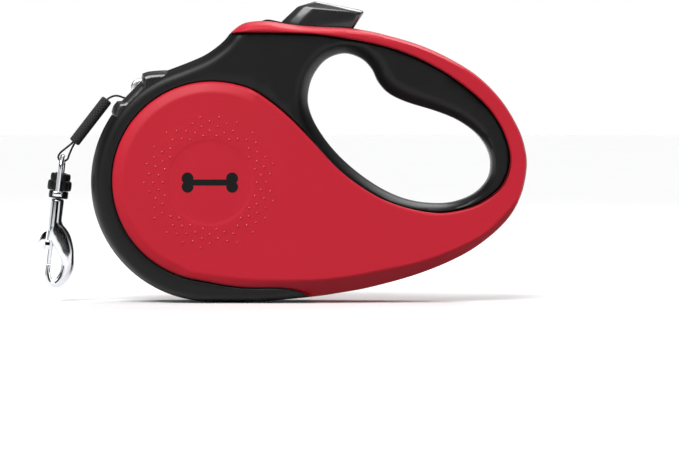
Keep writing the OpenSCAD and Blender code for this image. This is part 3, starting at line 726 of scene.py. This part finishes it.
def insert_ring(y, cut):
    """The insert's outline at this Y, with its outer side brought towards the reel by cut."""
    v = INSERT - AX
    r = np.linalg.norm(v, axis=1)
    low = np.where(r < NOZZLE_R + 0.1, r,
                   np.maximum(r - cut * np.clip((r - NOZZLE_R - 0.1) / 1.2, 0, 1), NOZZLE_R + 0.15))
    return [(AX[0] + q[0] * n / m, y, AX[1] + q[1] * n / m) for q, m, n in zip(v, r, low)]


turn = [math.radians(a) for a in (90, 80, 68, 56, 44, 32, 20, 8, 0)]
half_rings = [insert_ring(-7.6 - 3.4 * math.sin(a), 2.5 * (1 - math.cos(a))) for a in turn]
nozzle = tube("outlet_insert", half_rings + [[(x, -y, z) for x, y, z in r] for r in half_rings[::-1]])
MOUTH = [(-40, 60.2), (-40, 63.6), (-47.6, 66.9), (-49.6, 67), (-54, 71), (-62, 64), (-62, 60.2)]
mouth = prism("mouth", MOUTH, -4.4, 4.4)
boolean(nozzle, mouth)
nozzle.data.shade_smooth()
nozzle.data.set_sharp_from_angle(angle=math.radians(32))
make(nozzle, GLOSS, "housing", "outlet_nozzle", slot="dark_gloss")
GROOVED = [(0.85, -4.2), (2.2, -4.2), (2.6, -4.05), (2.8, -3.6), (2.62, -2.2), (2.5, 0), (2.62, 2.2),
           (2.8, 3.6), (2.6, 4.05), (2.2, 4.2), (0.85, 4.2)]
roller = turned("guide_roller_skin", GROOVED, (-50.4, 0, 64), (0, 1, 0), n=72)
roller.data.set_sharp_from_angle(angle=math.radians(50))
make(roller, ROLLER, "roller", "guide_roller", slot="chrome")

# ---------------------------------------------------------------- thumb button
SIDE = [(-3.2, 80.4), (-3.2, 83), (1.5, 87.8), (12.2, 86.9), (14.6, 86), (12.4, 80.4)]
CORNER = [(-5.8, 80.4), (-5.8, 83.4), (-1.2, 88.4), (13.6, 87.1), (15.8, 86.4), (12.4, 80.4)]
MIDDLE = [(-8.2, 80.4), (-8.2, 83.7), (-3.3, 88.3), (2.1, 89.9), (15.4, 87.3), (16.6, 86.7), (12.4, 80.4)]
bm = bmesh.new()
for outline, h in ((SIDE, 6.0), (CORNER, 5.2), (MIDDLE, 3.6)):
    for s in (-h, h):
        for x, z in outline:
            bm.verts.new((x * MM, s * MM, z * MM))
hull = bmesh.ops.convex_hull(bm, input=bm.verts)
bmesh.ops.delete(bm, geom=list({e for e in hull["geom_interior"] + hull["geom_unused"]
                                if isinstance(e, bmesh.types.BMVert)}), context="VERTS")
bmesh.ops.dissolve_limit(bm, angle_limit=math.radians(2), verts=bm.verts, edges=bm.edges)
button = bpy.data.objects.new("button_cap", bpy.data.meshes.new("button_cap"))
bm.to_mesh(button.data)
bm.free()
scene.collection.objects.link(button)
modifiers(button, bevel=0.7, segments=4, angle=12)
boolean(button, block((-11.2, -1.5, 79.4), (7.7, 1.5, 82.4)))
boolean(button, block((-11.2, -2.9, 81.7), (7.7, 2.9, 83.2)))
button.data.shade_smooth()
button.data.set_sharp_from_angle(angle=math.radians(35))
make(button, GLOSS, "button", "thumb_button", slot="dark_gloss")


# ---------------------------------------------------------------- sleeve and hook
def around_sleeve(t, r, a):
    """The point at radius r and angle a about the sleeve's axis, t along it."""
    along, aside = Vector((ALONG[0], 0, ALONG[1])), Vector((ASIDE[0], 0, ASIDE[1]))
    start = Vector((TOP[0], 0, TOP[1]))
    return tuple(start + along * t + aside * (r * math.cos(a)) + Vector((0, r * math.sin(a), 0)))


rings = []
for k in range(121):
    t = SLEEVE_LENGTH * k / 120
    end = min(t, SLEEVE_LENGTH - t)
    base = 1.72 - 0.35 * max(0, 1 - end / 0.5) ** 2
    ring = []
    for i in range(96):
        a = 2 * math.pi * i / 96
        weave_h = abs(math.sin(8 * a + t * 5.2)) * abs(math.sin(8 * a - t * 5.2))
        r = base - 0.14 + 0.17 * weave_h
        ring.append(around_sleeve(t, r, a))
    rings.append(ring)
for t in (SLEEVE_LENGTH, 0.0):
    rings.append([around_sleeve(t, 0.75, 2 * math.pi * i / 96) for i in range(96)])
sleeve = tube("woven_sleeve", rings, caps=False, closed=True)
sleeve.data.set_sharp_from_angle(angle=math.radians(60))
make(sleeve, SLEEVE, "lead", "stop_sleeve", slot="black_cord")

LEAN = Matrix.Rotation(math.radians(HOOK_LEAN), 4, "Y")
ORIGIN = Matrix.Translation((-75.05 * MM, 0, 32.2 * MM))


def hooked(ob):
    """Moves a piece drawn about the hook's own axis into its place."""
    ob.data.transform(ORIGIN @ LEAN)
    return ob


def sweep(name, path, radii, sides=28, square=None):
    """Tube through 3-D points in mm with half widths (in the plane, in Y), squarer where square is over 2."""
    rings = []
    n = len(path)
    for k in range(n):
        t = (Vector(path[min(k + 1, n - 1)]) - Vector(path[max(k - 1, 0)])).normalized()
        if abs(t.y) > 0.999:
            e = Vector((1, 0, 0))
        else:
            e = Vector((0, 1, 0)).cross(t).normalized()
        g = t.cross(e).normalized()
        power = 2 / (square[k] if square else 2)
        ring = []
        for i in range(sides):
            c, s = math.cos(2 * math.pi * (i + 0.5) / sides), math.sin(2 * math.pi * (i + 0.5) / sides)
            c, s = math.copysign(abs(c) ** power, c), math.copysign(abs(s) ** power, s)
            ring.append(tuple(Vector(path[k]) + e * radii[k][0] * c + g * radii[k][1] * s))
        rings.append(ring)
    return tube(name, rings)


bail = []
for k in range(13):
    bail.append((0, -4.65, 0.2 + 7.95 * k / 12))
for a in range(10, 91, 10):
    bail.append((0, -4.65 + 3.2 * (1 - math.cos(math.radians(a))), 8.15 + 3.2 * math.sin(math.radians(a))))
for k in range(1, 6):
    bail.append((0, -1.45 + 2.9 * k / 5, 11.35))
for a in range(10, 91, 10):
    bail.append((0, 1.45 + 3.2 * math.sin(math.radians(a)), 8.15 + 3.2 * math.cos(math.radians(a))))
for k in range(1, 13):
    bail.append((0, 4.65, 8.15 - 7.95 * k / 12))
rings = []
for k, c in enumerate(bail):
    t = (Vector(bail[min(k + 1, len(bail) - 1)]) - Vector(bail[max(k - 1, 0)])).normalized()
    e = Vector((1, 0, 0))
    g = t.cross(e)
    turns = [2 * math.pi * i / 24 for i in range(24)]
    rings.append([tuple(Vector(c) + e * 0.75 * math.cos(a) + g * 0.75 * math.sin(a)) for a in turns])
eye = tube("bail_wire", rings)
bar = block((-1.4, -5.4, -0.6), (1.4, 5.4, 1.0))
boolean(bar, turned("hole", [(0, -2), (0.85, -2), (0.85, 4), (0, 4)], (0, 0, 0), (0, 0, 1), n=32))
modifiers(bar, bevel=0.45, segments=4)
eye.data.shade_smooth()
for ob, name in ((eye, "bail_wire"), (bar, "bail_bar")):
    hooked(ob)
    ob.name = name
    make(ob, CHROME, "eye", slot="chrome")
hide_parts("swivel_eye")
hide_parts("swivel_eye")

rings = []
HEAD = [(0.8, 1.1, 0), (2.9, 1.1, 0), (3.35, 1.25, 0.6), (3.55, 1.6, 1), (3.6, 2.2, 1), (3.6, 3.3, 1),
        (3.5, 3.8, 1), (3.25, 4.08, 0.6), (2.9, 4.15, 0), (2.95, 4.35, 0), (3.0, 4.7, 0.5), (3.0, 5.5, 0.5),
        (2.9, 6.0, 0.4), (2.6, 6.28, 0), (1.7, 6.3, 0), (1.6, 6.5, 0), (0.8, 6.5, 0)]
for r, h, depth in HEAD:
    ring = []
    for i in range(216):
        a = 2 * math.pi * i / 216
        cut = depth * 0.3 * max(0, math.cos(18 * a)) ** 0.6
        ring.append(((r - cut) * math.cos(a), (r - cut) * math.sin(a), h))
    rings.append(ring)
head = tube("ribbed_head", rings, caps=False, closed=True)
head.data.set_sharp_from_angle(angle=math.radians(45))
hooked(head)
make(head, BLACK, "hook", "swivel_head", slot="black_plastic")

RING = [(0.85, -1.2), (2.6, -1.2), (2.82, -1.1), (2.9, -0.9), (2.9, 0.65), (2.82, 0.87), (2.6, 0.95),
        (0.85, 0.95)]
collar = turned("swivel_ring", RING, (0, 0, 0), (0, 0, 1), n=96)
boolean(collar, block((-1.42, -4, -0.6), (1.42, 4, 2)))
collar.data.set_sharp_from_angle(angle=math.radians(40))
hooked(collar)
make(collar, BLACK, "eye", "swivel_collar", slot="black_plastic")

ARM = [(0, -7.5, 1.85, 1.85), (0.4, -9.6, 2.2, 2), (1.3, -11.6, 2.85, 2.1), (2.6, -13.6, 3, 2.2),
       (3.9, -15.9, 2.65, 2.3), (4.9, -18.4, 2.2, 2.4), (5.2, -21, 2.05, 2.4), (4.7, -23.8, 1.8, 2.3),
       (3.4, -26, 1.5, 2.1), (1.9, -26.9, 1.2, 1.8), (0.5, -26.3, 1.05, 1.5),
       (-0.3, -24.6, 0.95, 1.2), (-0.5, -23, 0.85, 1), (-0.5, -21.5, 0.8, 0.9)]
arm = spline(ARM, 8)
path = [(a, 0, s) for a, s, _, _ in arm]
radii = [(w, h) for _, _, w, h in arm]
square = [2 + 1.6 * float(step(w, 2.0, 2.5)) for _, _, w, _ in arm]
hook = sweep("hook_arm", path, radii, sides=48, square=square)
SHANK = [(0, -14), (1.95, -14), (1.95, -2.2), (1.85, -1.7), (1.6, -1.4), (0.8, -1.36), (0.8, 6.2), (0.6, 6.5),
         (0, 6.5)]
shank = turned("shank", SHANK, (0, 0, 0), (0, 0, 1), n=64, closed=False)
boolean(hook, shank, "UNION")
boolean(hook, turned("bore", [(0, -20), (0.85, -20), (0.85, -3.5), (0, -3.5)], (-0.5, 0, 0), (0, 0, 1), n=40))
boolean(hook, block((-4.5, -0.8, -20), (-0.5, 0.8, -9.9)))
modifiers(hook, bevel=0.12, segments=2, angle=50)
hooked(hook)
make(hook, CHROME, "hook", "hook_body", slot="chrome")

ROD = [(0, -21.2), (0.6, -21.2), (0.75, -21.05), (0.75, -9.6), (0.65, -9.5), (0, -9.5)]
rod = turned("bolt_rod", ROD, (-0.5, 0, 0), (0, 0, 1), n=36)
teeth = []
pad = spline([(-2.15, -11.2), (-3.3, -12.2), (-4.1, -13.9), (-4.5, -15.6), (-4.4, -16.5), (-3.9, -16.8)], 8)
for k, q in enumerate(pad):
    teeth.append((q[0] + (0.14 if k % 4 in (0, 1) and 6 < k < 34 else 0), q[1]))
lever = prism("bolt_lever", teeth + [(-2.15, -16.8)], -1.6, 1.6)
modifiers(lever, bevel=0.18, segments=2, angle=60)
link = block((-3, -0.7, -16.8), (-0.5, 0.7, -14.6))
modifiers(link, bevel=0.1, segments=2)
for ob in (rod, lever, link):
    hooked(ob)
    make(ob, CHROME, "bolt", slot="chrome")
    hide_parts("hook_bolt")
rod.data.set_sharp_from_angle(angle=math.radians(40))
for n, ob in (("bolt_rod", rod), ("bolt_lever", lever), ("bolt_link", link)):
    ob.name = n


# ---------------------------------------------------------------- dots and the mark on the disc
def cover_point(p):
    return float(cover_height(np.array([p]))[0])


def dots(side):
    """The raised dots round the middle of the disc, in curved arms."""
    bm = bmesh.new()
    radii = (13.9, 15.3, 16.7, 18.1, 19.5)
    for arm_k in range(22):
        for j, r in enumerate(radii):
            if (arm_k + 2 * j) % 5 == 3 and j in (0, 3, 4):
                continue
            a = math.radians(360 / 22 * arm_k + 8.2 * j)
            c = AX + r * np.array([math.cos(a), math.sin(a)])
            y = cover_point(c)
            size = 0.42 - 0.014 * j
            top = bm.verts.new((c[0] * MM, side * (y + 0.22) * MM, c[1] * MM))
            levels = ((0.55 * size, 0.17), (size, -0.02))
            mid, low = [[bm.verts.new((q[0] * MM, side * (y + rise) * MM, q[1] * MM))
                         for q in circle(c, radius, 12)] for radius, rise in levels]
            for i in range(12):
                bm.faces.new((top, mid[i], mid[(i + 1) % 12]))
                bm.faces.new((mid[i], low[i], low[(i + 1) % 12], mid[(i + 1) % 12]))
            bm.faces.new(low[::-1])
    bmesh.ops.recalc_face_normals(bm, faces=bm.faces)
    me = bpy.data.meshes.new("dots")
    bm.to_mesh(me)
    bm.free()
    me.shade_smooth()
    ob = bpy.data.objects.new(("left" if side < 0 else "right") + "_grip_dots", me)
    scene.collection.objects.link(ob)
    # the dots' lighter red is painted highlight
    make(ob, RED_DOT_PAINTED_HIGHLIGHT, "housing", slot="red_cover")


def mark(side):
    """A bone pictogram, printed a hair proud of the disc."""
    outline = []
    lobes = ((1, -1, 168.5, 405), (1, 1, -45, 191.5), (-1, 1, -11.5, 225), (-1, -1, 135, 371.5))
    for sx, sz, a0, a1 in lobes:
        for a in np.radians(np.linspace(a0, a1, 22)):
            outline.append((sx * 6.6 + 1.75 * math.cos(a), sz * 1.25 + 1.75 * math.sin(a)))
    outline = np.array(outline)
    c = AX + outline
    y = cover_point(AX)
    bm = bmesh.new()
    top = [bm.verts.new((x * MM, side * (y + 0.03) * MM, z * MM)) for x, z in c]
    low = [bm.verts.new((x * MM, side * (y - 0.05) * MM, z * MM)) for x, z in c]
    bm.faces.new(top)
    bm.faces.new(low[::-1])
    n = len(c)
    for i in range(n):
        bm.faces.new((top[i], low[i], low[(i + 1) % n], top[(i + 1) % n]))
    bmesh.ops.recalc_face_normals(bm, faces=bm.faces)
    me = bpy.data.meshes.new("mark")
    bm.to_mesh(me)
    bm.free()
    ob = bpy.data.objects.new(("left" if side < 0 else "right") + "_bone_mark", me)
    scene.collection.objects.link(ob)
    make(ob, PRINT, "housing", slot="black_plastic")


for side in (-1, 1):
    dots(side)
    mark(side)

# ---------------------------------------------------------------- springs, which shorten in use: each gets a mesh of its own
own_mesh(frame["nodes"]["brake_spring"])
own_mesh(frame["nodes"]["bolt_spring"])

# ---------------------------------------------------------------- stage
ground = add("ground", [(-6, -6, 0), (6, -6, 0), (6, 6, 0), (-6, 6, 0)], [(0, 1, 2, 3)], smooth=False)
ground.data.materials.append(material("pale_floor", (242, 242, 242), (239, 239, 240), 0.6, 0.7, blotch=3,
                                      grain=400, depth=0.02))
ground.visible_diffuse = False


def light(name, power, size, size_y, place):
    d = bpy.data.lights.new(name, "AREA")
    d.energy = power
    d.shape = "RECTANGLE"
    d.size = size
    d.size_y = size_y
    o = bpy.data.objects.new(name, d)
    scene.collection.objects.link(o)
    o.location = place
    o.rotation_euler = (Vector((0, 0, 0.04)) - Vector(place)).to_track_quat("-Z", "Y").to_euler()


light("top_softbox", 0.4, 0.5, 0.3, (0.1, -0.1, 0.75))
light("rim", 3.2, 0.5, 0.3, (0.2, 0.4, 0.6))
sun = bpy.data.lights.new("sun", "SUN")
sun.energy = 3.75
sun.angle = math.radians(40)
sun_object = bpy.data.objects.new("sun", sun)
scene.collection.objects.link(sun_object)
sun_object.rotation_euler = Vector((0.35, 0.85, -1.0)).to_track_quat("-Z", "Y").to_euler()

FLAG = material("black_flag", (6, 6, 6), (9, 9, 9), 0.9, specular=0.1)
FLAGS = (("flag_front", (0.0, -1.9, 0.25), 0.75, 0.5), ("flag_left", (-1.5, -0.4, 0.2), 0.3, 0.6))
for name, place, a, b in FLAGS:
    out = Vector((-place[0], -place[1], 0)).normalized()
    across = Vector((0, 0, 1)).cross(out)
    corners = [Vector(place) + across * sx * a + Vector((0, 0, sz * b))
               for sx, sz in ((-1, -1), (1, -1), (1, 1), (-1, 1))]
    flag = add(name, corners, [(0, 1, 2, 3)], smooth=False)
    flag.data.materials.append(FLAG)
    flag.visible_camera = False
    flag.visible_diffuse = False
    flag.visible_shadow = False

world = bpy.data.worlds.new("studio")
scene.world = world
world.use_nodes = True
wt = world.node_tree
back = wt.nodes["Background"]
back.inputs["Strength"].default_value = 1.0
where = wt.nodes.new("ShaderNodeTexCoord")
split = wt.nodes.new("ShaderNodeSeparateXYZ")
ramp = wt.nodes.new("ShaderNodeValToRGB")
wt.links.new(where.outputs["Generated"], split.inputs[0])
lift = wt.nodes.new("ShaderNodeMapRange")
lift.inputs["From Min"].default_value = -1
wt.links.new(split.outputs["Z"], lift.inputs["Value"])
wt.links.new(lift.outputs["Result"], ramp.inputs["Fac"])
wt.links.new(ramp.outputs["Color"], back.inputs["Color"])
BANDS = [(0.0, 0.24), (0.48, 0.24), (0.49, 1.0), (0.56, 1.0), (0.63, 0.14), (0.8, 0.14), (0.89, 0.42),
         (1.0, 0.48)]
ramp.color_ramp.elements[0].position = BANDS[0][0]
ramp.color_ramp.elements[0].color = (BANDS[0][1],) * 3 + (1,)
ramp.color_ramp.elements[1].position = BANDS[-1][0]
ramp.color_ramp.elements[1].color = (BANDS[-1][1],) * 3 + (1,)
for at, value in BANDS[1:-1]:
    e = ramp.color_ramp.elements.new(at)
    e.color = (value,) * 3 + (1,)
